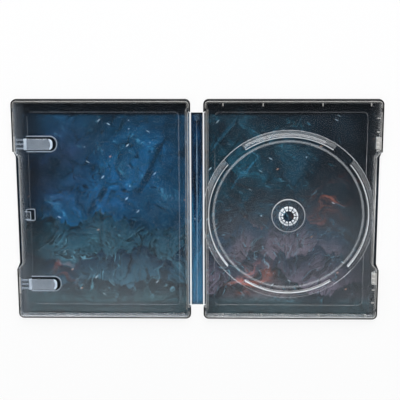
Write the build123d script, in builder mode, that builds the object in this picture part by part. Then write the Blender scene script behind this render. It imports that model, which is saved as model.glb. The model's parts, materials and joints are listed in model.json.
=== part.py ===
"""Game disc case: printed metal covers and spine around a clear inlay with two hinges, lying open."""
from build123d import *
import os

os.makedirs("parts", exist_ok=True)

# Frame: X runs across the open case, Y along the spine, Z up from the table, sizes in millimetres.
# The origin is on the table, under the middle of the spine. The back cover is on the +X side.

# Overall size of the closed case
closed_height = 172.0
closed_width = 136.0
closed_depth = 13.0

# Printed sheet metal
sheet = 0.3
edge_radius = 2.0
corner_radius = 4.0
lip_height = 5.4
hem = 0.7
spine_width = 8.9
bend_radius = 0.8

# Hinges: thin films of the inlay, each creased along its hinge line
hinge_height = 1.3
film = 0.5
film_groove = 0.4
hinge_wall_setback = 1.5
lobe_length = 9.5
lobe_recess = 1.0
spine_ridge_width = 1.0
spine_ridge_height = 0.3
spine_pad_width = 3.9
spine_pad_length = 4.4
spine_pad_height = 0.2
spine_pad_setback = 1.2

# Clear inlay
tray_floor = 1.0
rim_wall = 1.4
pocket_radius = 1.3
panel_step = 0.35
panel_slope_angle = 55.0
panel_edge_margin = 11.7
panel_hinge_margin = 5.0
panel_end_margin = 10.3
panel_corner = 3.0

# Finger grip on the opening edge
grip_length = 88.0
grip_slope = 4.0
cover_grip = 1.8
tray_grip = 3.5
grip_lip = 2.4

# Disc well and hub
disc_diameter = 120.0
disc_hole = 15.0
disc_drop = 3.8
disc_shift = 1.4
disc_clearance = 0.5
ring_height = 3.2
ring_top = 1.0
ring_top_radius = 0.45
ring_draft = 0.3
ring_slope = 3.9
well_groove = 3.5
well_groove_depth = 0.25
well_groove_slope = 0.5
finger_gap_angle = 49.0
finger_gap_width = 17.5
seat_diameter = 26.0
seat_height = 1.8
seat_chamfer = 0.4
hub_height = 2.6
hub_eye = 8.4
hub_wall = 0.85
hub_cap = 0.8
hub_chamfer = 0.5
hub_groove = 0.7
hub_groove_depth = 0.4
hub_teeth = 12
tooth_slot = 0.8

# Guide ribs and latches on the back tray's walls
rib_width = 0.9
rib_reach = 2.5
rib_depth = 3.5
rib_rise = 1.0
hinge_rib_places = (13.0, 43.0)
edge_rib_places = (43.15, 7.15)
side_rib_places = (47.4, 61.6, 72.0)
latch_place = 52.9
latch_length = 9.0
latch_depth = 4.0
latch_ridges = 3

# Booklet clips on the front tray
clip_spacing = 110.6
clip_setback = 8.5
clip_length = 22.0
clip_width = 8.6
clip_thickness = 0.9
clip_riser = 1.8
clip_tip_radius = 3.4
booklet_gap = 2.2
slot_width = 11.0
slot_overrun = 2.4
slot_corner = 5.0
slot_lip = 0.8
slot_lip_height = 0.4
clip_ribs = 3
clip_rib_pitch = 3.3
clip_rib_width = 0.9
clip_rib_height = 2.0

# Centre catch on the front tray
window_length = 5.9
window_width = 8.1
window_setback = 8.5
window_corner = 0.8
catch_width = 6.2
catch_wall = 1.2
catch_height = 3.4
catch_hook = 3.6
catch_thickness = 1.0

# Clearances
seat_gap = 0.15
parting_gap = 0.1
crease_gap = 0.11
flange_gap = 0.1
end_gap = 1.0
hub_clearance = 0.05
rib_clearance = 0.3

# Places that follow from the sizes above
half_height = closed_height / 2
half_depth = closed_depth / 2
hinge_x = half_depth - hinge_height
edge_x = hinge_x + closed_width - hinge_height
lobe_x = hinge_x - hinge_height + lobe_recess
lobe_y = half_height - lobe_length
grip_inner = (grip_length - grip_slope) / 2
grip_outer = (grip_length + grip_slope) / 2
grip_reach = cover_grip + edge_radius + hem + sheet

flange_x = hinge_x + film_groove
flange_top = hinge_height - film / 2 - flange_gap
spine_half_length = lobe_y - end_gap
strip_top = hinge_height + film / 2
ridge_top = spine_half_length - spine_pad_setback - spine_pad_length

tray_inset = sheet + seat_gap
tray_bottom = sheet + seat_gap
ledge = lip_height - sheet - seat_gap
rim_inset = tray_inset + hem
rim_top = half_depth - parting_gap / 2
floor_top = tray_bottom + tray_floor
panel_floor = floor_top - panel_step
pocket_inset = rim_inset + rim_wall
hinge_wall_x = hinge_x + hinge_wall_setback
pocket_hinge_x = hinge_wall_x + hem + rim_wall
recess_y = lobe_y + tray_inset
pocket_lobe_y = recess_y + rim_wall
film_end = hinge_x + film / 2 + crease_gap
wall_x = edge_x - pocket_inset
wall_y = half_height - pocket_inset
end_rib_x = [hinge_wall_x + place for place in hinge_rib_places]
end_rib_x += [wall_x - place for place in edge_rib_places]

disc_x = (pocket_hinge_x + wall_x - tray_grip) / 2 - disc_shift
disc_y = -disc_drop
ring_inner = disc_diameter / 2 + disc_clearance
ring_outer = ring_inner + ring_draft + ring_top + ring_slope
seat_top = panel_floor + seat_height
hub_radius = disc_hole / 2 - hub_clearance
hub_top = seat_top + hub_height
hub_row = (hub_radius + hub_eye / 2) / 2
clip_under = floor_top + booklet_gap
clip_top = clip_under + clip_thickness
cut_reach = closed_depth


def cover_plan(inset, grip_depth):
    """Plan of the back cover with its finger grip, drawn inset from the outer edge."""
    edge = edge_x - inset
    end = half_height - inset
    with BuildSketch() as plan:
        with BuildLine():
            Polyline(
                (lobe_x + inset, -end),
                (edge, -end),
                (edge, -grip_outer),
                (edge - grip_depth, -grip_inner),
                (edge - grip_depth, grip_inner),
                (edge, grip_outer),
                (edge, end),
                (lobe_x + inset, end),
                close=True,
            )
        make_face()
        fillet(plan.vertices(), corner_radius - inset)
    return plan.sketch


def rounded_block(plan, bottom, top, radius):
    """Upright block over a plan, with its bottom edge rounded."""
    with BuildPart() as block:
        with BuildSketch(Plane.XY.offset(bottom)):
            add(plan)
        extrude(amount=top - bottom)
        fillet(block.edges().group_by(Axis.Z)[0], radius)
    return block.part


def pocket_plan(inset):
    """Plan of the back tray's pocket, drawn inset from the faces of its walls."""
    with BuildSketch() as plan:
        add(cover_plan(pocket_inset + inset, tray_grip))
        with Locations((pocket_hinge_x + inset, 0)):
            Rectangle(
                cut_reach,
                2 * pocket_lobe_y,
                align=(Align.MAX, Align.CENTER),
                mode=Mode.SUBTRACT,
            )
    return plan.sketch


def disc_plane(angle, height=0.0):
    """Level plane on the disc's axis, with its X axis at an angle round that axis."""
    return Plane((disc_x, disc_y, height)).rotated((0, 0, angle))


disc_axis = Axis((disc_x, disc_y, 0), (0, 0, 1))
disc_section = Plane((disc_x, disc_y, 0), x_dir=(1, 0, 0), z_dir=(0, -1, 0))

cover_outside = rounded_block(cover_plan(0, cover_grip), 0, lip_height, edge_radius)
cover_inside = rounded_block(
    cover_plan(sheet, cover_grip), sheet, lip_height - sheet, edge_radius - sheet
)
hem_opening = cover_plan(sheet + hem, cover_grip)

# Back cover: a drawn sheet with a hemmed lip, open beside the spine between its two lobes
with BuildPart() as back_cover:
    add(cover_outside)
    add(cover_inside, mode=Mode.SUBTRACT)
    with BuildSketch(Plane.XY.offset(lip_height - sheet)):
        add(hem_opening)
    extrude(amount=sheet, mode=Mode.SUBTRACT)
    with BuildSketch(Plane.XY.offset(grip_lip)):
        with Locations((edge_x, 0)):
            Rectangle(2 * grip_reach, 2 * grip_outer)
    extrude(amount=cut_reach, mode=Mode.SUBTRACT)
    with BuildSketch():
        with Locations((flange_x + bend_radius, 0)):
            Rectangle(cut_reach, 2 * lobe_y, align=(Align.MAX, Align.CENTER))
    extrude(amount=cut_reach, mode=Mode.SUBTRACT)
    with BuildSketch(Plane.XZ):
        with BuildLine():
            Polyline(
                (flange_x + bend_radius, 0),
                (flange_x + bend_radius, sheet),
            )
            RadiusArc(
                (flange_x + bend_radius, sheet),
                (flange_x + sheet, bend_radius),
                bend_radius - sheet,
            )
            Polyline(
                (flange_x + sheet, bend_radius),
                (flange_x + sheet, flange_top),
                (flange_x, flange_top),
                (flange_x, bend_radius),
            )
            RadiusArc((flange_x, bend_radius), (flange_x + bend_radius, 0), -bend_radius)
        make_face()
    extrude(amount=spine_half_length, both=True)

# Front cover: the same sheet, mirrored
with BuildPart() as front_cover:
    mirror(back_cover.part, about=Plane.YZ)

# Spine cover: a shallow channel with both long edges bent up
with BuildPart() as spine_cover:
    with BuildSketch(Plane.XZ) as channel:
        with Locations((0, flange_top / 2)):
            Rectangle(spine_width, flange_top)
        fillet(channel.vertices().group_by(Axis.Y)[0], bend_radius)
    extrude(amount=spine_half_length, both=True)
    with BuildSketch(Plane.XZ) as hollow:
        with Locations((0, sheet + flange_top / 2)):
            Rectangle(spine_width - 2 * sheet, flange_top)
        fillet(hollow.vertices().group_by(Axis.Y)[0], bend_radius - sheet)
    extrude(amount=spine_half_length, both=True, mode=Mode.SUBTRACT)

# Spine strip: the middle of the inlay, with half of each hinge film down to the crease
with BuildPart() as spine_strip:
    with BuildSketch(Plane.XZ) as strip:
        with Locations((0, tray_bottom)):
            Rectangle(
                spine_width - 2 * tray_inset,
                strip_top - tray_bottom,
                align=(Align.CENTER, Align.MIN),
            )
        fillet(strip.vertices().group_by(Axis.Y)[0], bend_radius - tray_inset)
        with Locations((0, hinge_height)):
            SlotOverall(2 * hinge_x + film, film)
    extrude(amount=spine_half_length, both=True)
    with BuildSketch(Plane.XY.offset(tray_bottom)):
        with Locations((0, spine_half_length - spine_pad_setback)):
            Rectangle(spine_pad_width, spine_pad_length, align=(Align.CENTER, Align.MAX))
    extrude(amount=strip_top + spine_pad_height - tray_bottom)
    with BuildSketch(Plane.XZ.offset(-ridge_top)):
        with BuildLine():
            Polyline(
                (spine_ridge_width / 2, tray_bottom),
                (spine_ridge_width / 2, strip_top),
                (0, strip_top + spine_ridge_height),
                (-spine_ridge_width / 2, strip_top),
                (-spine_ridge_width / 2, tray_bottom),
                close=True,
            )
        make_face()
    extrude(amount=ridge_top + spine_half_length)

# Plain tray: what the front and back trays share
tray_foot = rounded_block(
    cover_plan(tray_inset, tray_grip), tray_bottom, ledge, edge_radius - tray_inset
)
tray_rim = cover_plan(rim_inset, tray_grip)
pocket = rounded_block(
    cover_plan(pocket_inset, tray_grip), floor_top, half_depth + closed_depth, pocket_radius
)
with BuildPart() as tray_pocket:
    add(pocket)
    with BuildSketch():
        with Locations((pocket_hinge_x, 0)):
            Rectangle(cut_reach, 2 * pocket_lobe_y, align=(Align.MAX, Align.CENTER))
    extrude(amount=2 * closed_depth, mode=Mode.SUBTRACT)

with BuildPart() as plain_tray:
    add(tray_foot)
    with BuildSketch(Plane.XY.offset(ledge)):
        add(tray_rim)
    extrude(amount=rim_top - ledge)
    with BuildSketch():
        with Locations((hinge_wall_x, 0)):
            Rectangle(cut_reach, 2 * recess_y, align=(Align.MAX, Align.CENTER))
    extrude(amount=cut_reach, mode=Mode.SUBTRACT)
    add(tray_pocket.part, mode=Mode.SUBTRACT)
    with BuildSketch(Plane.XY.offset(panel_floor)):
        with Locations((pocket_hinge_x + panel_hinge_margin, 0)):
            panel_length = edge_x - panel_edge_margin - pocket_hinge_x - panel_hinge_margin
            RectangleRounded(
                panel_length,
                2 * (half_height - panel_end_margin),
                panel_corner,
                align=(Align.MIN, Align.CENTER),
            )
    extrude(amount=panel_step, taper=-panel_slope_angle, mode=Mode.SUBTRACT)
    with BuildSketch(Plane.XZ):
        with Locations((film_end, hinge_height)):
            Rectangle(
                hinge_wall_x + rim_wall - film_end,
                film,
                align=(Align.MIN, Align.CENTER),
            )
    extrude(amount=spine_half_length, both=True)

# Disc ring: four raised arcs round the disc, with finger gaps between them
with BuildPart() as disc_ring:
    with BuildSketch(disc_section) as ring_profile:
        with BuildLine():
            Polyline(
                (ring_inner, panel_floor - panel_step),
                (ring_inner, panel_floor),
                (ring_inner + ring_draft, floor_top + ring_height),
                (ring_inner + ring_draft + ring_top, floor_top + ring_height),
                (ring_outer, floor_top),
                (ring_outer, panel_floor - panel_step),
                close=True,
            )
        make_face()
        fillet(ring_profile.vertices().group_by(Axis.Y)[-1], ring_top_radius)
    revolve(axis=disc_axis)
    for gap_angle in (
        finger_gap_angle,
        180 - finger_gap_angle,
        180 + finger_gap_angle,
        -finger_gap_angle,
    ):
        with BuildSketch(disc_plane(gap_angle)):
            with Locations((ring_inner, 0)):
                Rectangle(2 * (ring_outer - ring_inner) + ring_slope, finger_gap_width)
        extrude(amount=cut_reach, mode=Mode.SUBTRACT)
    with BuildSketch():
        add(pocket_plan(-rim_wall / 2))
    extrude(amount=closed_depth, mode=Mode.INTERSECT)

# Disc well: the level floor under the disc, and the groove round it that the ring stands in
with BuildPart() as disc_well:
    with BuildSketch(disc_plane(0, panel_floor)):
        Circle(ring_outer)
    extrude(amount=panel_step)
    with BuildSketch(disc_section):
        with BuildLine():
            Polyline(
                (ring_inner - well_groove, panel_floor),
                (ring_outer, panel_floor),
                (ring_outer, panel_floor - well_groove_depth),
                (ring_inner - well_groove + well_groove_slope, panel_floor - well_groove_depth),
                close=True,
            )
        make_face()
    revolve(axis=disc_axis)
    with BuildSketch():
        add(pocket_plan(0))
    extrude(amount=closed_depth, mode=Mode.INTERSECT)

# Back tray: holds the disc on a hub of springy teeth
with BuildPart() as back_tray:
    add(plain_tray.part)
    add(disc_well.part, mode=Mode.SUBTRACT)
    add(disc_ring.part)
    with BuildSketch(disc_section):
        with BuildLine():
            Polyline(
                (0, tray_bottom),
                (seat_diameter / 2, tray_bottom),
                (seat_diameter / 2, seat_top - seat_chamfer),
                (seat_diameter / 2 - seat_chamfer, seat_top),
                (0, seat_top),
                close=True,
            )
        make_face()
    revolve(axis=disc_axis)
    with BuildSketch(disc_plane(0)):
        Circle(hub_radius - hub_wall)
    extrude(amount=cut_reach, mode=Mode.SUBTRACT)
    with BuildSketch(disc_section):
        with BuildLine():
            Polyline(
                (hub_radius - hub_wall, seat_top - seat_chamfer),
                (hub_radius, seat_top - seat_chamfer),
                (hub_radius, hub_top - hub_chamfer),
                (hub_radius - hub_chamfer, hub_top),
                (hub_row + hub_groove / 2, hub_top),
                (hub_row, hub_top - hub_groove_depth),
                (hub_row - hub_groove / 2, hub_top),
                (hub_eye / 2, hub_top),
                (hub_eye / 2, hub_top - hub_cap),
                (hub_radius - hub_wall, hub_top - hub_cap),
                close=True,
            )
        make_face()
    revolve(axis=disc_axis)
    with BuildSketch(disc_plane(0, seat_top)):
        with PolarLocations(hub_radius / 2, hub_teeth):
            Rectangle(hub_radius + 2 * hub_chamfer, tooth_slot)
    extrude(amount=cut_reach, mode=Mode.SUBTRACT)
    # Guide ribs along both ends
    for end_side in (1, -1):
        for rib_x in end_rib_x:
            with BuildSketch(Plane.YZ.offset(rib_x)):
                with BuildLine():
                    Polyline(
                        (end_side * (wall_y + rim_wall / 2), rim_top - rib_depth),
                        (end_side * wall_y, rim_top - rib_depth),
                        (end_side * (wall_y - rib_reach), rim_top),
                        (end_side * (wall_y - rib_reach), rim_top + rib_rise / 2),
                        (end_side * (wall_y - rib_reach + rib_clearance), rim_top + rib_rise),
                        (end_side * (wall_y - rib_clearance), rim_top + rib_rise),
                        (end_side * (wall_y - rib_clearance), rim_top),
                        (end_side * (wall_y + rim_wall / 2), rim_top),
                        close=True,
                    )
                make_face()
            extrude(amount=rib_width / 2, both=True)
    # Guide ribs and ridged latches along the opening edge
    for edge_side in (1, -1):
        for rib_place in side_rib_places:
            with BuildSketch(Plane.XZ.offset(-edge_side * rib_place)):
                with BuildLine():
                    Polyline(
                        (wall_x + rim_wall / 2, rim_top - rib_depth),
                        (wall_x, rim_top - rib_depth),
                        (wall_x - rib_reach, rim_top),
                        (wall_x - rib_reach, rim_top + rib_rise / 2),
                        (wall_x - rib_reach + rib_clearance, rim_top + rib_rise),
                        (wall_x - rib_clearance, rim_top + rib_rise),
                        (wall_x - rib_clearance, rim_top),
                        (wall_x + rim_wall / 2, rim_top),
                        close=True,
                    )
                make_face()
            extrude(amount=rib_width / 2, both=True)
        with BuildSketch(Plane.XY.offset(rim_top - latch_depth)):
            with Locations((wall_x - rib_reach, edge_side * latch_place)):
                Rectangle(
                    rib_reach + rim_wall / 2, latch_length, align=(Align.MIN, Align.CENTER)
                )
        extrude(amount=latch_depth)
        with BuildSketch(Plane.XY.offset(rim_top)):
            with Locations((wall_x - rib_reach, edge_side * latch_place)):
                with GridLocations(0, latch_length / latch_ridges, 1, latch_ridges):
                    Rectangle(
                        rib_reach - rib_clearance,
                        latch_length / latch_ridges / 2,
                        align=(Align.MIN, Align.CENTER),
                    )
        extrude(amount=rib_rise)

# Front tray: two booklet clips over slots, and a hooked catch over a window in the finger grip
with BuildPart() as front_tray:
    mirror(plain_tray.part, about=Plane.YZ)
    for clip_side in (1, -1):
        clip_y = disc_y + clip_side * clip_spacing / 2
        clip_start = clip_setback - edge_x
        slot_start = clip_start + clip_riser
        slot_length = clip_length - clip_riser + slot_overrun
        with BuildSketch(Plane.XY.offset(tray_bottom)) as slot_frame:
            with Locations((slot_start, clip_y)):
                Rectangle(
                    slot_length + slot_lip,
                    slot_width + 2 * slot_lip,
                    align=(Align.MIN, Align.CENTER),
                )
            fillet(slot_frame.vertices().group_by(Axis.X)[-1], slot_corner + slot_lip)
        extrude(amount=tray_floor + slot_lip_height)
        with BuildSketch() as slot:
            with Locations((slot_start, clip_y)):
                Rectangle(slot_length, slot_width, align=(Align.MIN, Align.CENTER))
            fillet(slot.vertices().group_by(Axis.X)[-1], slot_corner)
        extrude(amount=closed_depth, mode=Mode.SUBTRACT)
        with BuildSketch(Plane.XY.offset(tray_bottom)):
            with Locations((clip_start, clip_y)):
                Rectangle(clip_riser, clip_width, align=(Align.MIN, Align.CENTER))
        extrude(amount=clip_top - tray_bottom)
        with BuildSketch(Plane.XY.offset(clip_under)) as clip_tab:
            with Locations((clip_start, clip_y)):
                Rectangle(clip_length, clip_width, align=(Align.MIN, Align.CENTER))
            fillet(clip_tab.vertices().group_by(Axis.X)[-1], clip_tip_radius)
        extrude(amount=clip_thickness)
        with BuildSketch(Plane.XY.offset(tray_bottom)):
            with Locations(((clip_start - wall_x) / 2, clip_y)):
                with GridLocations(0, clip_rib_pitch, 1, clip_ribs):
                    Rectangle(clip_start + wall_x + rim_wall, clip_rib_width)
        extrude(amount=tray_floor + clip_rib_height)
    window_start = window_setback - edge_x
    with BuildSketch(Plane.XY.offset(tray_bottom)):
        with Locations((window_start - slot_lip, disc_y)):
            RectangleRounded(
                window_length + 2 * slot_lip,
                window_width + 2 * slot_lip,
                window_corner + slot_lip,
                align=(Align.MIN, Align.CENTER),
            )
    extrude(amount=tray_floor + slot_lip_height)
    with BuildSketch():
        with Locations((window_start, disc_y)):
            RectangleRounded(
                window_length, window_width, window_corner, align=(Align.MIN, Align.CENTER)
            )
    extrude(amount=closed_depth, mode=Mode.SUBTRACT)
    with BuildSketch(Plane.XZ.offset(-disc_y)):
        with BuildLine():
            Polyline(
                (window_start - catch_wall, tray_bottom),
                (window_start, tray_bottom),
                (window_start, floor_top + catch_height - catch_thickness),
                (window_start + catch_hook, floor_top + catch_height - catch_thickness),
                (window_start + catch_hook, floor_top + catch_height),
                (window_start - catch_wall, floor_top + catch_height),
                close=True,
            )
        make_face()
    extrude(amount=catch_width / 2, both=True)

back_cover.part.label = "back_cover"
front_cover.part.label = "front_cover"
spine_cover.part.label = "spine_cover"
back_tray.part.label = "back_tray"
front_tray.part.label = "front_tray"
spine_strip.part.label = "spine_strip"

export_step(back_cover.part, "parts/back_cover.step")
export_step(front_cover.part, "parts/front_cover.step")
export_step(spine_cover.part, "parts/spine_cover.step")
export_step(back_tray.part, "parts/back_tray.step")
export_step(front_tray.part, "parts/front_tray.step")
export_step(spine_strip.part, "parts/spine_strip.step")
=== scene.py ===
"""Looks of the game disc case: printed metal covers and spine around a clear inlay, lying open."""
import json

import bmesh
import bpy
from mathutils import Matrix, Vector

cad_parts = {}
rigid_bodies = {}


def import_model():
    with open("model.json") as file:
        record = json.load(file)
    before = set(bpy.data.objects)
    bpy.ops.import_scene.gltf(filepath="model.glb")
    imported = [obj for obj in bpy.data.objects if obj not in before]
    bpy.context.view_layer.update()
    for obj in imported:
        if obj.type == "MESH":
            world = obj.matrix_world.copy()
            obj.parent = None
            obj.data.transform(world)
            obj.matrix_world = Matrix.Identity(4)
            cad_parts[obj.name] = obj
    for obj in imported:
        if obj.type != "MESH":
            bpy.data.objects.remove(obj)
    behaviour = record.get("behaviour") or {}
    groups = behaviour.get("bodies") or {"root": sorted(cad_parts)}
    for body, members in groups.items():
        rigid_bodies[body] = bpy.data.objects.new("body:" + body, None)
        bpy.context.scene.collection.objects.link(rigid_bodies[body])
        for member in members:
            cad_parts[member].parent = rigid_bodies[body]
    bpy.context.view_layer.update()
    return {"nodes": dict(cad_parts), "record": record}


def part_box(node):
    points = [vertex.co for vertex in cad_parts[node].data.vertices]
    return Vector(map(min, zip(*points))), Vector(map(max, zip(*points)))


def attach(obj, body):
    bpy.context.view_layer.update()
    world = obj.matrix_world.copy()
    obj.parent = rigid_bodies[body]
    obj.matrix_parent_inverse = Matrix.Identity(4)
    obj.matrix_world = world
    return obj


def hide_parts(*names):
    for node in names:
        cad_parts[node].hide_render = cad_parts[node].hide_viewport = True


for item in list(bpy.data.objects):
    bpy.data.objects.remove(item)

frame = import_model()

mm = 0.001

# Mesh cleaning and edge rounding
weld_distance = 0.002 * mm
flat_angle = 0.01
sharp_angle = 0.6
crease_angle = 0.35
level_slack = 0.02 * mm
metal_rounding = 0.1 * mm
tray_rounding = 0.35 * mm
strip_rounding = 0.1 * mm
rounding_segments = 2

# Places from the frame
mounts = {mount["name"]: mount for mount in frame["record"]["mounts"]}
disc_x, disc_y, hub_base = mounts["disc_hub"]["pos_m"]
hub_radius = mounts["disc_hub"]["dims"]["r_mm"] * mm
edge_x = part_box("back_cover")[1].x
half_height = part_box("back_cover")[1].y
lip_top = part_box("back_cover")[1].z
rim_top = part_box("front_tray")[1].z
rib_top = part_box("back_tray")[1].z
flange_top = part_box("spine_cover")[1].z
spine_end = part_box("spine_strip")[1].y
lobe_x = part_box("back_cover")[0].x

# Floors, rims and finger grips of the moulding
floor_top = 1.45 * mm
panel_floor = 1.1 * mm
grip_lip = 2.4 * mm
grip_depth = 5.6 * mm
grip_inner = 42 * mm
grip_outer = 46 * mm
tray_grip = 3.5 * mm
rim_inset = 1.15 * mm
rim_width = 1.4 * mm
rim_corner = 2.85 * mm
rim_outer_line = 0.5 * mm
rim_inner_line = 0.3 * mm
lobe_foot = 76.95 * mm
lobe_clearing = 2.4 * mm
lobe_clearing_depth = 1.2 * mm
wall_setback = 0.65 * mm
hinge_wall_extra = 0.7 * mm

# Booklet clips, their slots, and the catch in its window
clip_spacing = 110.6 * mm
clip_near = edge_x - 8.5 * mm
clip_far = clip_near - 22 * mm
clip_half_width = 4.3 * mm
clip_riser = 1.8 * mm
clip_underside = 3.65 * mm
clip_top = 4.55 * mm
clip_tip_radius = 3.4 * mm
clip_tip_rim = 1.4 * mm
clip_tip_length = 3.4 * mm
clip_wall_reach = 2.6 * mm
clip_wall_fade = (clip_half_width + 1.5 * mm, clip_half_width + 3.5 * mm)
clip_rib_fade = (clip_half_width + 0.4 * mm, clip_half_width + 0.8 * mm)
clip_rib_foot = floor_top + 1.0 * mm
slot_half_width = 5.5 * mm
slot_corner = 5.0 * mm
slot_far = clip_far - 2.4 * mm
slot_lip = 0.8 * mm
slot_lip_top = 1.85 * mm
window_far = clip_near - 5.9 * mm
window_half_width = 4.05 * mm
catch_half_width = 3.1 * mm
catch_wall = 1.2 * mm
hook_under = 3.85 * mm
hook_far = clip_near - 3.6 * mm
hook_top = rim_top - 1.0 * mm

# Latches, hub and disc ring
latch_place = 52.9 * mm
latch_half_length = 4.5 * mm
latch_depth = 4 * mm
latch_x = edge_x - 5.1 * mm
seat_radius = 13 * mm
seat_line = 0.75 * mm
seat_top = 2.9 * mm
hub_top = 5.5 * mm
hub_eye_radius = 4.2 * mm
tooth_foot = hub_base - 0.6 * mm
tooth_groove_radius = (hub_radius + hub_eye_radius) / 2
tooth_groove_half_width = 0.55 * mm
ring_inner = 60.5 * mm
ring_outer = 65.7 * mm
ring_top = 4.65 * mm
ridge_inner = ring_inner + 0.25 * mm
ridge_outer = ring_inner + 0.95 * mm
slope_inner = ring_inner + 1.9 * mm
slope_outer = ring_outer - 0.6 * mm
slope_foot = floor_top + 0.6 * mm
ring_foot_half_width = 0.35 * mm
ring_foot_softness = 0.12 * mm
groove_radius = ring_inner - 3.1 * mm
groove_half_width = 0.8 * mm

# Spine strip
pad_top = 1.75 * mm
pad_half_width = 1.95 * mm
pad_length = 4.4 * mm
pad_setback = 1.2 * mm
spine_ridge_half_width = 0.35 * mm
spine_ridge_softness = 0.15 * mm
spine_ridge_fade = 22 * mm

# Softness of the edges of frosted places and of the print's margin
hair_edge = 0.05 * mm
fine_edge = 0.1 * mm
soft_edge = 0.2 * mm
wide_edge = 0.3 * mm
blurred_edge = 0.5 * mm

# Camera, fitted to the edges, the spine, the clips and the disc well in the 400 by 400 photograph
image_size = 400
focal_pixels = 1039.6
sensor = 36.0
camera_place = Vector((22.0, 179.3, 779.2)) * mm
camera_forward = Vector((-0.0248, -0.2148, -0.9763))
camera_right = Vector((0.9997, -0.0029, -0.0247))


class Graph:
    """Adds nodes to a material's or a world's tree with short calls."""

    def __init__(self, tree):
        self.tree = tree
        tree.nodes.clear()

    def add(self, kind, inputs=None, **options):
        """Adds a node, sets its options, and sets or links its inputs by name or number."""
        node = self.tree.nodes.new(kind)
        for name, value in options.items():
            setattr(node, name, value)
        for key, value in (inputs or {}).items():
            if isinstance(value, bpy.types.NodeSocket):
                self.tree.links.new(value, node.inputs[key])
            else:
                node.inputs[key].default_value = value
        return node

    def math(self, operation, first, second=0.0):
        return self.add("ShaderNodeMath", {0: first, 1: second}, operation=operation).outputs[0]

    def plus(self, first, second):
        return self.math("ADD", first, second)

    def minus(self, first, second):
        return self.math("SUBTRACT", first, second)

    def size(self, value):
        """A value without its sign."""
        return self.math("ABSOLUTE", value)

    def gap(self, value, place):
        """Distance of a value from a place."""
        return self.size(self.minus(value, place))

    def fold(self, operation, values):
        """Joins two or more values by one operation."""
        result = values[0]
        for value in values[1:]:
            result = self.math(operation, result, value)
        return result

    def product(self, *factors):
        return self.fold("MULTIPLY", factors)

    def largest(self, *values):
        return self.fold("MAXIMUM", values)

    def length(self, first, second):
        """Length of a step with two parts at right angles."""
        squares = self.plus(self.math("POWER", first, 2.0), self.math("POWER", second, 2.0))
        return self.math("SQRT", squares)

    def rise(self, value, low, high, bottom=0.0, top=1.0):
        """Smooth step from bottom to top as value goes from low to high."""
        inputs = {"Value": value, "From Min": low, "From Max": high, "To Min": bottom, "To Max": top}
        node = self.add("ShaderNodeMapRange", inputs, interpolation_type="SMOOTHSTEP")
        return node.outputs["Result"]

    def fall(self, value, low, high, top=1.0):
        """Smooth step from top to zero as value goes from low to high."""
        return self.rise(value, low, high, top, 0.0)

    def above(self, value, level, soft=soft_edge):
        """One over a level, falling to zero over a soft edge under it."""
        return self.rise(value, level - soft, level)

    def below(self, value, level, soft=soft_edge, top=1.0):
        """Top under a level, falling to zero over a soft edge over it."""
        return self.fall(value, level, level + soft, top)

    def near(self, value, centre, half, soft):
        """One within half of centre, falling to zero over a soft edge."""
        return self.fall(self.gap(value, centre), half - soft, half + soft)

    def between(self, value, low, high, soft):
        """One from low to high, falling to zero over a soft edge."""
        return self.near(value, (low + high) / 2, (high - low) / 2, soft)

    def past_round_end(self, along, aside, end, half_width, radius):
        """Distance past the rounded end of a strip of a half width, negative inside it."""
        past_end = self.largest(self.minus(along, end - radius), 0.0)
        past_side = self.largest(self.minus(aside, half_width - radius), 0.0)
        return self.minus(self.length(past_end, past_side), radius)

    def blend(self, factor, first, second, kind="MIX"):
        """Mixes two colours."""
        inputs = {0: factor, 6: first, 7: second}
        node = self.add("ShaderNodeMix", inputs, data_type="RGBA", blend_type=kind)
        return node.outputs[2]

    def glow(self, base, amount, light):
        """Adds light of one colour to another, scaled by amount."""
        return self.blend(amount, base, light, "ADD")

    def ramp(self, factor, stops):
        """Colour ramp with stops of a place and a colour."""
        node = self.add("ShaderNodeValToRGB", {"Fac": factor})
        elements = node.color_ramp.elements
        while len(elements) < len(stops):
            elements.new(0.5)
        for element, (place, shade) in zip(elements, stops):
            element.position = place
            element.color = shade
        return node.outputs["Color"]

    def parts(self, vector):
        """The parts of a vector along X, Y and Z."""
        node = self.add("ShaderNodeSeparateXYZ", {"Vector": vector})
        return [node.outputs[axis] for axis in "XYZ"]

    def vector(self, operation, *vectors):
        """Vector math on two or three vectors."""
        node = self.add("ShaderNodeVectorMath", dict(enumerate(vectors)), operation=operation)
        return node.outputs[0]

    def shifted(self, vector, step):
        """Vector moved by the same step along both axes of the plane."""
        return self.vector("ADD", vector, (step, step, 0.0))

    def turned(self, vector, angle, factors):
        """Vector turned in the plane, then scaled along its new axes."""
        inputs = {"Vector": vector, "Angle": -angle}
        node = self.add("ShaderNodeVectorRotate", inputs, rotation_type="Z_AXIS")
        return self.vector("MULTIPLY", node.outputs[0], (*factors, 0.0))

    def noise(self, vector, scale, detail=4.0, roughness=0.55, distortion=0.0, output="Fac"):
        """Soft noise in space."""
        inputs = {
            "Vector": vector,
            "Scale": scale,
            "Detail": detail,
            "Roughness": roughness,
            "Distortion": distortion,
        }
        return self.add("ShaderNodeTexNoise", inputs).outputs[output]

    def profile(self, value, scale, detail, roughness):
        """Soft noise along one line."""
        inputs = {"W": value, "Scale": scale, "Detail": detail, "Roughness": roughness}
        return self.add("ShaderNodeTexNoise", inputs, noise_dimensions="1D").outputs["Fac"]

    def cells(self, vector, scale, feature="F1"):
        """Cells of a loose grid in the plane."""
        inputs = {"Vector": vector, "Scale": scale}
        return self.add("ShaderNodeTexVoronoi", inputs, voronoi_dimensions="2D", feature=feature)

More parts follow.
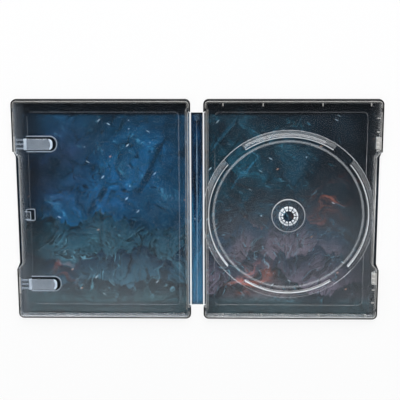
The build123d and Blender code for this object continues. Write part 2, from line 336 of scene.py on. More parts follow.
    def ball(self, vector, centre, radii, turn=0.0):
        """Soft glow: one at centre, zero at an ellipse of the given radii turned in the plane."""
        moved = self.vector("SUBTRACT", vector, (*centre, 0.0))
        shrunk = self.turned(moved, turn, (1 / radii[0], 1 / radii[1]))
        node = self.add("ShaderNodeTexGradient", {"Vector": shrunk}, gradient_type="SPHERICAL")
        return self.rise(node.outputs["Fac"], 0.0, 1.0)

    def strokes(self, vector, angle, scale, stretch, seed):
        """Soft brush strokes: noise drawn out along one direction."""
        drawn = self.shifted(self.turned(vector, angle, (scale / stretch, scale)), seed)
        return self.noise(drawn, scale=1.0, detail=6.0, roughness=0.62, distortion=0.7)

    def specks(self, vector, scale, size, share, seed, angle=0.0, stretch=1.0):
        """Small specks or dashes in a share of the cells of a loose grid: one at their middles."""
        drawn = self.shifted(self.turned(vector, angle, (1 / stretch, 1.0)), seed)
        cells = self.cells(drawn, scale)
        chosen = self.add("ShaderNodeSeparateColor", {"Color": cells.outputs["Color"]}).outputs[0]
        speck = self.fall(cells.outputs["Distance"], size * 0.4, size)
        return self.product(speck, self.rise(chosen, 1.0 - share, 1.0))


def new_material(name):
    """An empty material and the graph of its nodes."""
    material = bpy.data.materials.new(name)
    material.use_nodes = True
    return material, Graph(material.node_tree)


def colour(red, green, blue):
    """Opaque colour for a node's socket."""
    return (red, green, blue, 1.0)


# Print: a night sky over layered hills, drawn across both covers and the spine, in decimetres
decimetres = 10.0
cover_change = 0.03
spine_half_width = 0.058
spine_softness = 0.004
hill_start = 0.06
hill_full = 0.08
warm_foot = -0.75
warm_full = -0.66
front_sky = (
    (0.30, colour(0.0030, 0.0120, 0.0240)),
    (0.46, colour(0.0070, 0.0370, 0.0740)),
    (0.58, colour(0.0090, 0.0600, 0.1240)),
    (0.72, colour(0.0140, 0.1000, 0.2000)),
)
back_sky = (
    (0.30, colour(0.0040, 0.0060, 0.0090)),
    (0.46, colour(0.0100, 0.0160, 0.0230)),
    (0.58, colour(0.0130, 0.0280, 0.0420)),
    (0.72, colour(0.0150, 0.0560, 0.0900)),
)
spine_sky = (
    (0.30, colour(0.0005, 0.0060, 0.0160)),
    (0.48, colour(0.0010, 0.0270, 0.0740)),
    (0.66, colour(0.0070, 0.1250, 0.2400)),
)
outside_sky = (
    (0.30, colour(0.004, 0.005, 0.008)),
    (0.52, colour(0.007, 0.016, 0.028)),
    (0.72, colour(0.010, 0.045, 0.080)),
)
hills = (
    # height in decimetres, roughness of the crest, seed, colour of the crest, colour of the foot
    (-0.14, 0.40, 3.1, colour(0.0160, 0.0620, 0.1040), colour(0.0340, 0.1120, 0.1580)),
    (-0.38, 0.32, 7.7, colour(0.0070, 0.0280, 0.0580), colour(0.0380, 0.1180, 0.1720)),
    (-0.60, 0.24, 12.4, colour(0.0040, 0.0120, 0.0210), colour(0.0520, 0.1260, 0.1460)),
)
hill_fade = 0.24
hills_per_decimetre = 2.1
trees_per_decimetre = 38.0
tree_height = 0.05
crest_softness = 0.006

# Paints of the print
ink = colour(0.0020, 0.0030, 0.0045)
edge_black = colour(0.0035, 0.0040, 0.0050)
band_blue = colour(0.006, 0.095, 0.240)
cloud_teal = colour(0.004, 0.070, 0.110)
cloud_violet = colour(0.034, 0.012, 0.040)
stroke_blue = colour(0.020, 0.140, 0.230)
streak_blue = colour(0.030, 0.085, 0.120)
line_blue = colour(0.050, 0.190, 0.260)
haze_rose = colour(0.090, 0.066, 0.080)
ember_red = colour(0.340, 0.090, 0.040)
star_white = colour(0.36, 0.45, 0.52)
warm_filter = colour(1.0, 0.70, 0.72)
hill_warmth = colour(0.100, 0.030, 0.028)
grass_teal = colour(0.060, 0.170, 0.210)
window_amber = colour(0.40, 0.22, 0.14)
thread_blue = colour(0.110, 0.260, 0.330)
flame_red = colour(0.480, 0.120, 0.060)
spark_white = colour(0.40, 0.50, 0.55)
outside_blue = colour(0.006, 0.050, 0.090)
outside_star = colour(0.26, 0.33, 0.40)

# Inside print darker towards the edges of a cover, and painted shade under the clips' slots and the
# catch's window: steps in from the edges of a cover, and strengths
side_fade_start = 34 * mm
side_fade_end = 11 * mm
end_fade_start = 14 * mm
end_fade_end = 11 * mm
foot_fade_start = 36 * mm
foot_fade_end = 6 * mm
grip_fade = 0.6 * mm
side_margin = 0.8
side_share_at_foot = 0.35
grip_margin = 0.96
top_margin = 0.93
foot_margin = 0.62
# Painted shade on the print under the slots and under the window
slot_painted_shade = 0.94
window_painted_shade = 0.92

# Metal: leans of faces and heights that bound the inside print, the dark edge, and the lacquer
print_lean = (0.2, 0.6)
print_top = 0.9 * mm
print_end = 1.4 * mm
edge_start = 1.6 * mm
edge_full = 2.6 * mm
lacquer_smooth = 0.30
lacquer_rough = 0.42
lacquer_gloss = 0.14


def sky_print(graph, plane, across, along):
    """Sky over the covers and the spine, and the warped plane that its clouds follow."""
    wander = graph.noise(plane, scale=1.7, detail=3.0, output="Color")
    warped = graph.vector("MULTIPLY_ADD", wander, (0.9, 0.9, 0.0), plane)
    clouds = graph.noise(warped, scale=1.9, detail=9.0, roughness=0.62)
    wisps = graph.noise(warped, scale=6.5, detail=8.0, roughness=0.68, distortion=0.6)
    long_strokes = graph.strokes(plane, angle=0.95, scale=9.0, stretch=6.0, seed=4.0)
    cross_strokes = graph.strokes(plane, angle=-0.6, scale=14.0, stretch=5.0, seed=17.0)

    front = graph.fall(across, -cover_change, cover_change)
    sky = graph.blend(front, graph.ramp(clouds, back_sky), graph.ramp(clouds, front_sky))
    # A diagonal band of blue light and violet clouds over the front cover, and teal beside the spine
    band = graph.ball(plane, centre=(-0.66, 0.16), radii=(1.0, 0.42), turn=0.72)
    sky = graph.glow(sky, graph.product(band, graph.rise(wisps, 0.34, 0.70)), band_blue)
    teal = graph.ball(plane, centre=(0.36, 0.34), radii=(0.60, 0.66), turn=0.3)
    sky = graph.glow(sky, graph.product(teal, graph.rise(wisps, 0.35, 0.72)), cloud_teal)
    violet = graph.ball(plane, centre=(-1.08, 0.34), radii=(0.40, 0.48), turn=-0.5)
    sky = graph.glow(sky, graph.product(violet, graph.rise(clouds, 0.35, 0.66)), cloud_violet)
    # Bright and dark strokes that give the paint its grain
    bright = graph.product(graph.rise(long_strokes, 0.56, 0.74), graph.largest(band, teal))
    sky = graph.glow(sky, bright, stroke_blue)
    streaks = graph.product(graph.rise(cross_strokes, 0.60, 0.76), graph.rise(clouds, 0.40, 0.60), 0.6)
    sky = graph.glow(sky, streaks, streak_blue)
    shade = graph.largest(graph.fall(long_strokes, 0.32, 0.46), graph.fall(cross_strokes, 0.30, 0.42))
    sky = graph.blend(graph.product(shade, 0.65), sky, ink)
    # Fine light lines along the edges of the clouds, and fine dark veins between them
    light_lines = graph.largest(
        graph.near(clouds, 0.56, 0.006, 0.006),
        graph.near(wisps, 0.60, 0.010, 0.010),
    )
    light_lines = graph.product(light_lines, graph.rise(cross_strokes, 0.48, 0.62), 0.7)
    sky = graph.glow(sky, light_lines, line_blue)
    cells = graph.cells(warped, scale=7.0, feature="DISTANCE_TO_EDGE")
    veins = graph.fall(cells.outputs["Distance"], 0.01, 0.05)
    veins = graph.product(veins, graph.rise(long_strokes, 0.46, 0.58), 0.7)
    sky = graph.blend(veins, sky, ink)
    # Warm clouds over the hills of the back cover
    haze = graph.ball(plane, centre=(0.66, -0.30), radii=(0.85, 0.46))
    sky = graph.glow(sky, graph.product(haze, graph.rise(clouds, 0.25, 0.75)), haze_rose)
    embers = graph.largest(
        graph.ball(plane, centre=(0.62, -0.20), radii=(0.66, 0.22), turn=0.28),
        graph.ball(plane, centre=(1.10, 0.14), radii=(0.42, 0.16), turn=0.5),
    )
    ember_strokes = graph.strokes(warped, angle=0.3, scale=11.0, stretch=3.0, seed=23.0)
    sky = graph.glow(sky, graph.product(embers, graph.rise(ember_strokes, 0.46, 0.70)), ember_red)

    spine = graph.near(across, 0.0, spine_half_width, spine_softness)
    spine_strokes = graph.strokes(plane, angle=1.5, scale=16.0, stretch=7.0, seed=31.0)
    lighter_at_foot = graph.rise(along, -0.75, 0.70, 0.16, -0.15)
    blue = graph.ramp(graph.plus(spine_strokes, lighter_at_foot), spine_sky)
    return graph.blend(spine, sky, blue), warped


def hill_print(graph, picture, warped, across, along, off_spine, strata):
    """Adds the layered hills with their trees, seams and grass to the picture."""
    seams = graph.rise(strata, 0.42, 0.62, 0.0, 0.85)
    grass_strokes = graph.strokes(warped, angle=0.9, scale=30.0, stretch=7.0, seed=41.0)
    grass = graph.rise(grass_strokes, 0.60, 0.72)
    back = graph.rise(across, -cover_change, cover_change)
    warm_side = graph.product(back, graph.rise(along, warm_foot, warm_full))
    trees = graph.profile(across, trees_per_decimetre, detail=2.0, roughness=0.5)
    for height, rough, seed, crest_colour, foot_colour in hills:
        place = graph.plus(graph.product(across, hills_per_decimetre), seed)
        outline = graph.profile(place, 1.0, detail=7.0, roughness=0.52)
        crest = graph.plus(graph.product(graph.minus(outline, 0.5), rough * 2), height)
        crest = graph.plus(crest, graph.product(trees, tree_height))
        depth = graph.minus(crest, along)
        downhill = graph.rise(depth, 0.0, hill_fade)
        slope = graph.blend(downhill, crest_colour, foot_colour)
        slope = graph.blend(warm_side, slope, warm_filter, "MULTIPLY")
        slope = graph.glow(slope, graph.product(warm_side, downhill), hill_warmth)
        slope = graph.blend(seams, slope, ink)
        slope = graph.glow(slope, grass, grass_teal)
        hill = graph.product(graph.rise(depth, -crest_softness, crest_softness), off_spine)
        picture = graph.blend(hill, picture, slope)
    return picture


def inside_print(graph, position):
    """Colours of the print inside the case."""
    plane = graph.vector("MULTIPLY", position, (decimetres, decimetres, 0.0))
    across, along, _ = graph.parts(plane)
    picture, warped = sky_print(graph, plane, across, along)
    off_spine = graph.rise(graph.size(across), hill_start, hill_full)
    strata = graph.noise(warped, scale=15.0, detail=8.0, roughness=0.70, distortion=1.6)

    stars = graph.largest(
        graph.specks(plane, scale=6.0, size=0.045, share=0.25, seed=2.0),
        graph.product(graph.specks(plane, scale=24.0, size=0.10, share=0.25, seed=5.0), 0.5),
    )
    picture = graph.glow(picture, stars, star_white)
    picture = hill_print(graph, picture, warped, across, along, off_spine, strata)
    # Small lights, threads, fires and sparks over the hills
    lights = graph.specks(plane, scale=5.0, size=0.04, share=0.25, seed=9.0, angle=0.5, stretch=1.8)
    picture = graph.glow(picture, graph.product(lights, off_spine), window_amber)
    threads = graph.product(
        graph.near(graph.noise(warped, scale=9.0, detail=3.0), 0.53, 0.007, 0.007),
        graph.rise(strata, 0.46, 0.56),
        graph.fall(along, -0.25, 0.05),
        off_spine,
    )
    picture = graph.glow(picture, threads, thread_blue)
    fires = graph.largest(
        graph.ball(plane, centre=(0.40, -0.54), radii=(0.30, 0.16), turn=0.4),
        graph.ball(plane, centre=(-1.02, -0.50), radii=(0.16, 0.12), turn=-0.6),
    )
    flames = graph.strokes(warped, angle=0.5, scale=13.0, stretch=2.5, seed=53.0)
    picture = graph.glow(picture, graph.product(fires, graph.rise(flames, 0.44, 0.66)), flame_red)
    sparks = graph.largest(
        graph.specks(plane, scale=11.0, size=0.07, share=0.16, seed=13.0, angle=0.8, stretch=3.4),
        graph.specks(plane, scale=14.0, size=0.07, share=0.14, seed=19.0, angle=-0.5, stretch=4.2),
    )
    picture = graph.glow(picture, graph.product(sparks, off_spine), spark_white)
    grain = graph.noise(plane, scale=46.0, detail=4.0, roughness=0.7)
    return graph.blend(graph.rise(grain, 0.3, 0.7, 0.0, 0.34), picture, ink)


def outside_print(graph, position):
    """Colours of the print outside the case: deep blue clouds and stars on near black."""
    space = graph.vector("MULTIPLY", position, (decimetres, decimetres, decimetres))
    clouds = graph.noise(space, scale=1.3, detail=9.0, roughness=0.6, distortion=0.8)
    wisps = graph.noise(space, scale=4.2, detail=8.0, roughness=0.66, distortion=1.4)
    picture = graph.ramp(clouds, outside_sky)
    picture = graph.glow(picture, graph.rise(wisps, 0.52, 0.78, 0.0, 0.5), outside_blue)
    stars = graph.largest(
        graph.specks(space, scale=9.0, size=0.05, share=0.22, seed=3.0),
        graph.product(graph.specks(space, scale=31.0, size=0.10, share=0.16, seed=8.0), 0.4),
    )
    return graph.glow(picture, stars, outside_star)


def off_clip(graph, along, side_of_disc):
    """Distance from the middle of a clip: the upper one for side 1, the lower one for side -1."""
    return graph.gap(along, disc_y + side_of_disc * clip_spacing / 2)


def past_slot(graph, across, off_middle):
    """Distance past the rounded outline of a clip's slot, negative inside it."""
    return graph.past_round_end(across, off_middle, -slot_far, slot_half_width, slot_corner)


def print_darkening_and_painted_shade(graph, across, along):
    """Inside print darker round its edges, and painted shade on it under the clips' slots and the
    catch's window.
    """
    reach = graph.size(across)
    side = graph.product(
        graph.rise(reach, edge_x - side_fade_start, edge_x - side_fade_end, 0.0, side_margin),
        graph.rise(
            along, foot_fade_end - half_height, foot_fade_start - half_height, side_share_at_foot, 1.0
        ),
    )
    grip = graph.rise(reach, edge_x - grip_depth - grip_fade, edge_x - grip_depth, 0.0, grip_margin)
    top = graph.rise(along, half_height - end_fade_start, half_height - end_fade_end, 0.0, top_margin)
    foot = graph.fall(along, end_fade_end - half_height, end_fade_start - half_height, foot_margin)
    # Painted shade on the print under each clip's slot and under the catch's window
    slots = []
    for side_of_disc in (1, -1):
        outside = past_slot(graph, across, off_clip(graph, along, side_of_disc))
        shade_in_slot = graph.below(outside, 0.0, blurred_edge, slot_painted_shade)
        slots.append(graph.product(shade_in_slot, graph.rise(across, -clip_near, clip_riser - clip_near)))
    window = graph.product(
        graph.near(along, disc_y, window_half_width, wide_edge),
        graph.between(across, -clip_near, -window_far, wide_edge),
        window_painted_shade,
    )
    return graph.largest(side, grip, top, foot, *slots, window)


def printed_metal():
    """Tinplate printed on both sides under a satin lacquer, with dark edges, and painted shade on the
    inside print under the slots and the window.
    """
    material, graph = new_material("printed_metal")
    coordinates = graph.add("ShaderNodeTexCoord")
    position = coordinates.outputs["Object"]
    across, along, height = graph.parts(position)
    facing_up = graph.parts(coordinates.outputs["Normal"])[2]
    floor_side = graph.product(
        graph.rise(facing_up, *print_lean),
        graph.fall(height, print_top, print_end),
    )
    # Inside print darkened round its edges, with painted shade under the slots and the window
    inside = graph.blend(print_darkening_and_painted_shade(graph, across, along), inside_print(graph, position), ink)
    picture = graph.blend(floor_side, outside_print(graph, position), inside)
    picture = graph.blend(graph.rise(height, edge_start, edge_full), picture, edge_black)
    smudges = graph.noise(position, scale=55.0, detail=5.0, roughness=0.6)
    shader = graph.add(
        "ShaderNodeBsdfPrincipled",
        {
            "Base Color": picture,
            "Roughness": graph.rise(smudges, 0.3, 0.7, lacquer_smooth, lacquer_rough),
            "Specular IOR Level": lacquer_gloss,
        },
    )
    graph.add("ShaderNodeOutputMaterial", {"Surface": shader.outputs["BSDF"]})
    return material


# Strength of the frost on the clear moulding, where zero is clear, and of the painted highlights drawn
# as frost along edges, ridges and slopes, and how far handling changes it
wall_frost = 0.05
step_painted_highlight = 0.30
rim_outer_painted_highlight = 0.40
rim_inner_painted_highlight = 0.24
rim_middle_frost = 0.10
clip_root_painted_highlight = 0.75
clip_body_frost = 0.16
clip_rib_frost = 0.34
clip_wall_frost = 0.5
slot_rim_painted_highlight = 0.42
window_rim_painted_highlight = 0.36
hook_body_frost = 0.03
hook_edge_painted_highlight = 0.38
tooth_frost = 0.92
tooth_groove_frost = 0.22
seat_painted_highlight = 0.46
ridge_painted_highlight = 0.95
slope_painted_highlight = 0.12
ring_foot_painted_highlight = 0.24
groove_painted_highlight = 0.13
latch_frost = 0.6
guide_rib_frost = 0.4
spine_ridge_painted_highlight = 0.42
spine_pad_frost = 0.10
handled_frost = (0.82, 1.12)

# Leans of faces at which walls are frosted and steps get painted highlight lines, and the soft edge of
# the steps
wall_lean = (0.55, 0.97)
step_lean = (0.91, 0.985)
step_softness = 0.03 * mm

# Haze of the trays towards their opening walls
front_haze = 0.06
back_haze = 0.02
haze_start = edge_x - 13 * mm
haze_width = 10 * mm
haze_curve = 2.4

# Colours of the frost and of the painted highlights, darker and lighter, its warm colour at the rims,
# and tints of the plastic
white_frost = (colour(0.72, 0.75, 0.78), colour(0.85, 0.88, 0.91))
cool_frost = (colour(0.54, 0.64, 0.76), colour(0.68, 0.77, 0.88))
blue_frost = (colour(0.26, 0.46, 0.66), colour(0.34, 0.56, 0.76))
warm_frost = colour(0.72, 0.70, 0.66)
warm_frost_start = rim_top - 0.8 * mm
warm_frost_full = rim_top - 0.4 * mm
clear_tint = colour(0.97, 0.985, 1.0)
shadow_tint = colour(0.92, 0.94, 0.95)

# Polish of the plastic
plastic_ior = 1.47
polish_smooth = 0.05
polish_rough = 0.13
frost_rough = 0.38
ripple_strength = 0.02
ripple_depth = 0.2 * mm


def rim_depth(graph, across, along):
    """Distances in from the outer and the inner edge of a tray's rim, and the side that is away from
    the hinge. The rim follows the lobes and the finger grip.
    """
    middle = (edge_x + lobe_x) / 2
    side_change = 1 * mm
    reach = graph.size(across)
    end = graph.size(along)
    opening_side = graph.rise(reach, middle - side_change, middle + side_change)
    hinge_side = graph.minus(1.0, opening_side)
    inputs = {
        "Value": end,
        "From Min": grip_inner,
        "From Max": grip_outer,
        "To Min": tray_grip,
        "To Max": 0.0,
    }
    grip = graph.add("ShaderNodeMapRange", inputs).outputs["Result"]
    hinge_wall = graph.product(hinge_side, graph.fall(end, lobe_foot - fine_edge, lobe_foot))
    setback = graph.product(hinge_wall, wall_setback)
    moved = graph.plus(graph.product(opening_side, grip), setback)
    out = graph.plus(graph.gap(reach, middle), moved)
    half_length = (edge_x - lobe_x) / 2 - rim_inset
    past = graph.past_round_end(out, end, half_length, half_height - rim_inset, rim_corner)
    width = graph.plus(graph.product(hinge_wall, hinge_wall_extra), rim_width)
    return graph.product(past, -1.0), graph.plus(width, past), opening_side


def rim_frost_and_painted_highlights(graph, across, along, height):
    """Frosted rims with painted highlight lines along their two edges, clearer between them and at the
    lobes' feet.
    """
    depth, inner_depth, opening_side = rim_depth(graph, across, along)
    # Painted highlight lines along the outer and inner edges of the rim, over a light frost between
    # them
    lines = graph.largest(
        graph.below(depth, rim_outer_line, top=rim_outer_painted_highlight),
        graph.below(inner_depth, rim_inner_line, top=rim_inner_painted_highlight),
        rim_middle_frost,
    )
    foot = graph.product(
        graph.between(graph.size(along), lobe_foot - soft_edge, lobe_foot + lobe_clearing, wide_edge),
        graph.below(depth, lobe_clearing_depth, wide_edge),
    )
    at_top = graph.above(height, rim_top - soft_edge, wide_edge)
    rim = graph.product(lines, graph.minus(1.0, foot), at_top)
    return rim, opening_side


def at_slot_lip(graph, height):
    """One at the height of the low lips round the slots and the window."""
    return graph.between(height, floor_top + fine_edge, slot_lip_top + fine_edge, hair_edge)


def clip_frost_and_painted_highlights(graph, across, along, height, side_of_disc):
    """A booklet clip, frosted, with painted highlights at its root and its tip; its frosted ribs and
    wall, and a painted highlight line round the rim of its slot.
    """
    off_middle = off_clip(graph, along, side_of_disc)
    from_root = graph.plus(across, clip_near)
    from_edge = graph.minus(edge_x, graph.size(across))
    past_tip = graph.past_round_end(across, off_middle, -clip_far, clip_half_width, clip_tip_radius)
    # Painted highlights on the clip's riser and along the edge of its rounded tip, over its frosted
    # body
    root = graph.below(from_root, clip_riser, blurred_edge, clip_root_painted_highlight)
    tip = graph.product(
        graph.above(past_tip, -clip_tip_rim, blurred_edge),
        graph.rise(across, -clip_far - clip_tip_length, -clip_far - clip_tip_rim),
    )
    clip = graph.product(
        graph.below(past_tip, soft_edge),
        graph.above(height, clip_underside),
        graph.above(from_root, -soft_edge),
        graph.largest(root, tip, clip_body_frost),
    )
    ribs = graph.product(
        graph.fall(off_middle, *clip_rib_fade),
        graph.below(from_root, -blurred_edge, blurred_edge),
        graph.above(height, clip_rib_foot, blurred_edge),
        graph.below(height, clip_underside - fine_edge, fine_edge),
        clip_rib_frost,
    )
    wall = graph.product(
        graph.fall(off_middle, *clip_wall_fade),
        graph.below(from_edge, clip_wall_reach, wide_edge),
        graph.above(height, rim_top - soft_edge, wide_edge),
        clip_wall_frost,
    )
    # Painted highlight line on the lip round the slot
    slot_rim_highlight = graph.product(
        graph.below(past_slot(graph, across, off_middle), slot_lip, wide_edge, slot_rim_painted_highlight),
        graph.rise(from_root, 0.0, clip_riser),
        at_slot_lip(graph, height),
    )
    return clip, ribs, wall, slot_rim_highlight


def catch_painted_highlights(graph, across, along, height):
    """Painted highlight line round the rim of the catch's window, and the catch's hook, lightly
    frosted, with painted highlights along its edges.
    """
    # Painted highlight line on the lip round the catch's window
    window_rim_highlight = graph.product(
        graph.near(along, disc_y, window_half_width + slot_lip, soft_edge),
        graph.between(across, -clip_near - slot_lip, slot_lip - window_far, soft_edge),
        at_slot_lip(graph, height),
        window_rim_painted_highlight,
    )
    off_middle = graph.gap(along, disc_y)
    # Painted highlights along the side and end edges of the hook
    highlit_hook_edges = graph.largest(
        graph.above(off_middle, catch_half_width - wide_edge),
        graph.above(across, -hook_far - wide_edge),
    )
    hook = graph.product(
        graph.rise(highlit_hook_edges, 0.0, 1.0, hook_body_frost, hook_edge_painted_highlight),
        graph.below(off_middle, catch_half_width + fine_edge, fine_edge),
        graph.below(across, fine_edge - hook_far, fine_edge),
        graph.above(across, -clip_near - catch_wall),
        graph.above(height, hook_under - fine_edge, fine_edge),
        graph.below(height, hook_top, 2 * soft_edge),
    )
    return window_rim_highlight, hook


def front_frost_and_painted_highlights(graph, across, along, height):
    """Frosted booklet clips and catch, with painted highlights on their edges and on the lips round the
    slots and the window, on the front tray.
    """
    marks = []
    for side_of_disc in (1, -1):
        marks.extend(clip_frost_and_painted_highlights(graph, across, along, height, side_of_disc))
    marks.extend(catch_painted_highlights(graph, across, along, height))
    return graph.largest(*marks)


def back_frost_and_painted_highlights(graph, across, along, height):
    """Frosted hub teeth, latches and guide ribs, and painted highlight lines on the hub's seat, the
    disc ring's ridge, slope and foot, and the floor's groove, on the back tray.
    """
    radius = graph.length(graph.minus(across, disc_x), graph.minus(along, disc_y))
    tooth_groove = graph.near(radius, tooth_groove_radius, tooth_groove_half_width, soft_edge)
    teeth = graph.product(
        graph.below(radius, hub_radius + soft_edge, wide_edge),
        graph.above(height, tooth_foot, wide_edge),
        graph.rise(tooth_groove, 0.0, 1.0, tooth_frost, tooth_groove_frost),
    )
    # Painted highlight line round the hub's seat
    seat = graph.product(
        graph.between(radius, seat_radius - seat_line, seat_radius + soft_edge, fine_edge),
        graph.above(height, seat_top - 2 * soft_edge),
        seat_painted_highlight,
    )
    # Painted highlight along the ring's ridge
    ridge = graph.product(
        graph.between(radius, ridge_inner, ridge_outer, soft_edge),
        graph.above(height, ring_top - soft_edge),
        ridge_painted_highlight,
    )
    # Painted highlight line in the floor's groove
    groove_highlight = graph.product(
        graph.near(radius, groove_radius, groove_half_width, blurred_edge),
        graph.below(height, floor_top),
        groove_painted_highlight,
    )
    # Painted highlight line at the foot of the ring
    ring_foot_highlight = graph.product(
        graph.near(radius, ring_outer, ring_foot_half_width, ring_foot_softness),
        graph.below(height, floor_top + fine_edge, fine_edge),
        ring_foot_painted_highlight,
    )
    latches = graph.product(
        graph.near(graph.size(along), latch_place, latch_half_length + wide_edge, soft_edge),
        graph.above(across, latch_x - soft_edge),
        graph.above(height, rim_top - latch_depth + wide_edge, wide_edge),
        latch_frost,
    )
    # Painted highlight on the ring's outer slope, added to the lamps' real reflection there
    slope_highlight = graph.product(
        graph.between(radius, slope_inner, slope_outer, wide_edge),
        graph.above(height, slope_foot, 2 * soft_edge),
        slope_painted_highlight,
    )
    guide_ribs = graph.rise(height, rim_top + soft_edge, rim_top + blurred_edge, 0.0, guide_rib_frost)
    return graph.largest(teeth, seat, ridge, groove_highlight, ring_foot_highlight, latches, slope_highlight, guide_ribs)


def spine_painted_highlight_and_pad(graph, across, along, height):
    """Painted highlight along the middle ridge of the spine strip, fading out below the pad, and the
    frosted small pad at its upper end.
    """
    pad_foot = spine_end - pad_setback - pad_length
    # Painted highlight line along the ridge, fading out below the pad
    ridge = graph.product(
        graph.near(across, 0.0, spine_ridge_half_width, spine_ridge_softness),
        graph.fall(along, pad_foot - spine_ridge_fade, pad_foot),
        spine_ridge_painted_highlight,
    )
    pad = graph.product(
        graph.near(across, 0.0, pad_half_width, fine_edge),
        graph.between(along, pad_foot, pad_foot + pad_length, fine_edge),
        spine_pad_frost,
    )
    return graph.product(graph.largest(ridge, pad), graph.above(height, flange_top + soft_edge))


def clear_plastic(name, frost_and_highlight_features, haze, frost_colours):
    """Clear moulding: polished faces, and frosted rims, steps and sprung features, where the frost also
    draws painted highlight lines along edges, ridges and slopes.
    """
    material, graph = new_material(name)
    coordinates = graph.add("ShaderNodeTexCoord")
    position = coordinates.outputs["Object"]
    across, along, height = graph.parts(position)
    level = graph.size(graph.parts(coordinates.outputs["Normal"])[2])

    flow = graph.noise(position, scale=32.0, detail=6.0, roughness=0.6, distortion=0.5)
    handled = graph.noise(position, scale=150.0, detail=5.0, roughness=0.65)
    ripple = graph.noise(position, scale=85.0, detail=3.0, roughness=0.5)
    walls = graph.fall(level, *wall_lean, wall_frost)
    rim, opening_side = rim_frost_and_painted_highlights(graph, across, along, height)
    # Painted highlight lines on the sloping steps of the floor
    steps = graph.product(
        graph.fall(level, *step_lean, step_painted_highlight),
        graph.between(height, panel_floor - soft_edge, floor_top - hair_edge, step_softness),
    )
    to_wall = graph.math("DIVIDE", graph.minus(graph.size(across), haze_start), haze_width)
    haze_rise = graph.math("POWER", graph.largest(to_wall, 0.0), haze_curve)
    wall_haze = graph.product(haze_rise, haze, opening_side)
    features = frost_and_highlight_features(graph, across, along, height)
    # Frost together with the painted highlight lines, both drawn in the frosted shader's pale colour
    frost = graph.largest(walls, rim, steps, wall_haze, features)
    frost = graph.product(frost, graph.rise(handled, 0.25, 0.75, *handled_frost))

    at_rim = graph.rise(height, warm_frost_start, warm_frost_full)
    bump_inputs = {"Strength": ripple_strength, "Distance": ripple_depth, "Height": ripple}
    bump = graph.add("ShaderNodeBump", bump_inputs)
    polished = graph.add(
        "ShaderNodeBsdfPrincipled",
        {
            "Base Color": clear_tint,
            "Roughness": graph.rise(flow, 0.25, 0.75, polish_smooth, polish_rough),
            "IOR": plastic_ior,
            "Transmission Weight": 1.0,
            "Normal": bump.outputs["Normal"],
        },
    )
    frosted = graph.add(
        "ShaderNodeBsdfPrincipled",
        {
            "Base Color": graph.blend(at_rim, graph.blend(handled, *frost_colours), warm_frost),
            "Roughness": frost_rough,
            "Normal": bump.outputs["Normal"],
        },
    )
    moulding = graph.add(
        "ShaderNodeMixShader", {0: frost, 1: polished.outputs[0], 2: frosted.outputs[0]}
    )
    open_to_lamps = graph.add("ShaderNodeBsdfTransparent", {"Color": shadow_tint})
    rays = graph.add("ShaderNodeLightPath")
    surface = graph.add(
        "ShaderNodeMixShader",
        {0: rays.outputs["Is Shadow Ray"], 1: moulding.outputs[0], 2: open_to_lamps.outputs[0]},
    )
    graph.add("ShaderNodeOutputMaterial", {"Surface": surface.outputs[0]})
    return material


def sharp_edges(shape, height):
    """Outer edges of a mesh that lie level at a height."""
    return [
        edge
        for edge in shape.edges
        if len(edge.link_faces) == 2
        and edge.calc_face_angle_signed() > sharp_angle
        and all(abs(vertex.co.z - height) < level_slack for vertex in edge.verts)
    ]


def rounded_copy(node_name, body, slot, material, heights, edge_width):
    """Replaces a CAD node by a copy of its mesh with its level top edges rounded."""
    shape = bmesh.new()
    shape.from_mesh(frame["nodes"][node_name].data)
    bmesh.ops.remove_doubles(shape, verts=shape.verts, dist=weld_distance)
    bmesh.ops.dissolve_limit(shape, angle_limit=flat_angle, verts=shape.verts, edges=shape.edges)
    for height in heights:
        bmesh.ops.bevel(
            shape,
            geom=sharp_edges(shape, height),
            offset=edge_width,
            offset_type="OFFSET",
            segments=rounding_segments,
            profile=0.5,
            affect="EDGES",
            clamp_overlap=False,
            loop_slide=False,
        )
    mesh = bpy.data.meshes.new(node_name + "_rounded")
    shape.to_mesh(mesh)
    shape.free()
    mesh.shade_smooth()
    mesh.set_sharp_from_angle(angle=crease_angle)
    mesh.materials.append(material)
    piece = bpy.data.objects.new(node_name + "_rounded", mesh)
    bpy.context.scene.collection.objects.link(piece)
    shading = piece.modifiers.new("even shading", "WEIGHTED_NORMAL")
    shading.keep_sharp = True
    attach(piece, body)
    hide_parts(node_name)


def dressed_case():
    """All six pieces with their finish."""
    metal = printed_metal()
    clear_back = clear_plastic("clear_back_tray", back_frost_and_painted_highlights, back_haze, white_frost)
    clear_front = clear_plastic("clear_front_tray", front_frost_and_painted_highlights, front_haze, cool_frost)
    clear_strip = clear_plastic("clear_spine_strip", spine_painted_highlight_and_pad, 0.0, blue_frost)
    pieces = (
        # node, body, slot, material, heights of the edges to round, width of the rounding
        ("back_cover", "back", "printed_metal", metal, (lip_top, grip_lip), metal_rounding),
        ("front_cover", "front", "printed_metal", metal, (lip_top, grip_lip), metal_rounding),
        ("spine_cover", "spine", "printed_metal", metal, (flange_top,), metal_rounding),
        ("back_tray", "back", "clear_plastic", clear_back, (rim_top, rib_top, hub_top), tray_rounding),
        ("front_tray", "front", "clear_plastic", clear_front, (rim_top, clip_top), tray_rounding),
        ("spine_strip", "spine", "clear_plastic", clear_strip, (pad_top,), strip_rounding),
    )
    for piece in pieces:
        rounded_copy(*piece)


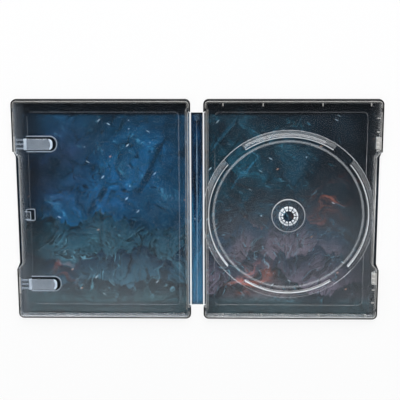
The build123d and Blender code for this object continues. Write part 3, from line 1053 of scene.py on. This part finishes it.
# Studio: a white floor, soft lamps, and a room with a pale wall past the near end of the case
floor_half_size = 8.0
floor_drop = 0.05 * mm
floor_grey = colour(0.9, 0.9, 0.9)
floor_white = colour(1.0, 1.0, 1.0)
floor_glow = 0.88
lamps = (
    # name, place, target, width and depth in metres, power in watts
    ("key", (0.1, 1.15, 1.0), (0.0, 0.0, 0.0), (1.5, 0.9), 20.0),
    ("low_strip", (0.07, 1.45, 0.55), (0.07, 0.06, 0.0), (2.0, 0.16), 4.5),
    ("left_fill", (-1.2, 0.1, 0.75), (0.0, 0.0, 0.0), (0.8, 1.0), 3.0),
)
room_greys = (
    (0.0, colour(0.62, 0.62, 0.62)),
    (0.55, colour(0.42, 0.42, 0.43)),
    (0.9, colour(0.05, 0.05, 0.055)),
)

# Pale wall, in parts of a direction of length one: the fades of its edges, and the slit in it
wall_head = (-0.31, -0.245)
wall_foot = (-0.75, -0.60)
wall_sides = (0.35, 0.60)
slit_middle = -0.0275
slit_edge = (0.012, 0.024)
right_start = -0.04
right_lean = 0.055
right_share = 0.56
wall_light = colour(1.15, 1.30, 1.42)


def white_floor():
    """White floor that shows as plain white and keeps the case's soft shadow."""
    half = floor_half_size
    corners = ((-half, -half), (half, -half), (half, half), (-half, half))
    mesh = bpy.data.meshes.new("floor")
    mesh.from_pydata([(x, y, -floor_drop) for x, y in corners], [], [(0, 1, 2, 3)])
    floor = bpy.data.objects.new("floor", mesh)
    bpy.context.scene.collection.objects.link(floor)
    material, graph = new_material("white_floor")
    rays = graph.add("ShaderNodeLightPath")
    seen = graph.largest(
        rays.outputs["Is Camera Ray"],
        rays.outputs["Is Glossy Ray"],
        rays.outputs["Is Transmission Ray"],
    )
    matt = graph.add("ShaderNodeBsdfDiffuse", {"Color": floor_grey})
    white = graph.add("ShaderNodeEmission", {"Color": floor_white, "Strength": 1.0})
    share = graph.product(seen, floor_glow)
    surface = graph.add("ShaderNodeMixShader", {0: share, 1: matt.outputs[0], 2: white.outputs[0]})
    graph.add("ShaderNodeOutputMaterial", {"Surface": surface.outputs[0]})
    mesh.materials.append(material)


def area_lamp(name, place, target, size, watts):
    """Rectangular lamp at a place, facing a target."""
    data = bpy.data.lights.new(name, "AREA")
    data.shape = "RECTANGLE"
    data.size, data.size_y = size
    data.energy = watts
    lamp = bpy.data.objects.new(name, data)
    lamp.location = place
    lamp.rotation_mode = "QUATERNION"
    lamp.rotation_quaternion = (Vector(target) - Vector(place)).to_track_quat("-Z", "Y")
    bpy.context.scene.collection.objects.link(lamp)


def studio_world():
    """Soft grey room, dark straight above. A pale wall past the near end of the case shows as haze in
    the lower half of the polished trays, weaker in the right one, and its slit leaves the spine clear.
    """
    world = bpy.data.worlds.new("studio")
    bpy.context.scene.world = world
    world.use_nodes = True
    graph = Graph(world.node_tree)
    across, along, height = graph.parts(graph.add("ShaderNodeTexCoord").outputs["Generated"])
    room = graph.ramp(height, room_greys)
    beyond = graph.minus(along, graph.rise(across, right_start, 0.0, 0.0, right_lean))
    pale_wall = graph.product(
        graph.fall(beyond, *wall_head),
        graph.rise(beyond, *wall_foot),
        graph.fall(graph.size(across), *wall_sides),
        graph.rise(graph.gap(across, slit_middle), *slit_edge),
        graph.rise(across, right_start, 0.0, 1.0, right_share),
    )
    room = graph.glow(room, pale_wall, wall_light)
    background = graph.add("ShaderNodeBackground", {"Color": room, "Strength": 1.0})
    graph.add("ShaderNodeOutputWorld", {"Surface": background.outputs[0]})


def photograph_camera():
    """Camera at the photograph's viewing angle, looking down on the open case."""
    data = bpy.data.cameras.new("camera")
    data.sensor_width = sensor
    data.lens = focal_pixels / image_size * sensor
    camera = bpy.data.objects.new("camera", data)
    back = -camera_forward.normalized()
    right = (camera_right - back * camera_right.dot(back)).normalized()
    up = back.cross(right)
    turn = Matrix((right, up, back)).transposed().to_4x4()
    camera.matrix_world = Matrix.Translation(camera_place) @ turn
    bpy.context.scene.collection.objects.link(camera)
    bpy.context.scene.camera = camera


dressed_case()
white_floor()
for lamp_values in lamps:
    area_lamp(*lamp_values)
studio_world()
photograph_camera()
bpy.context.scene.view_settings.view_transform = "Standard"
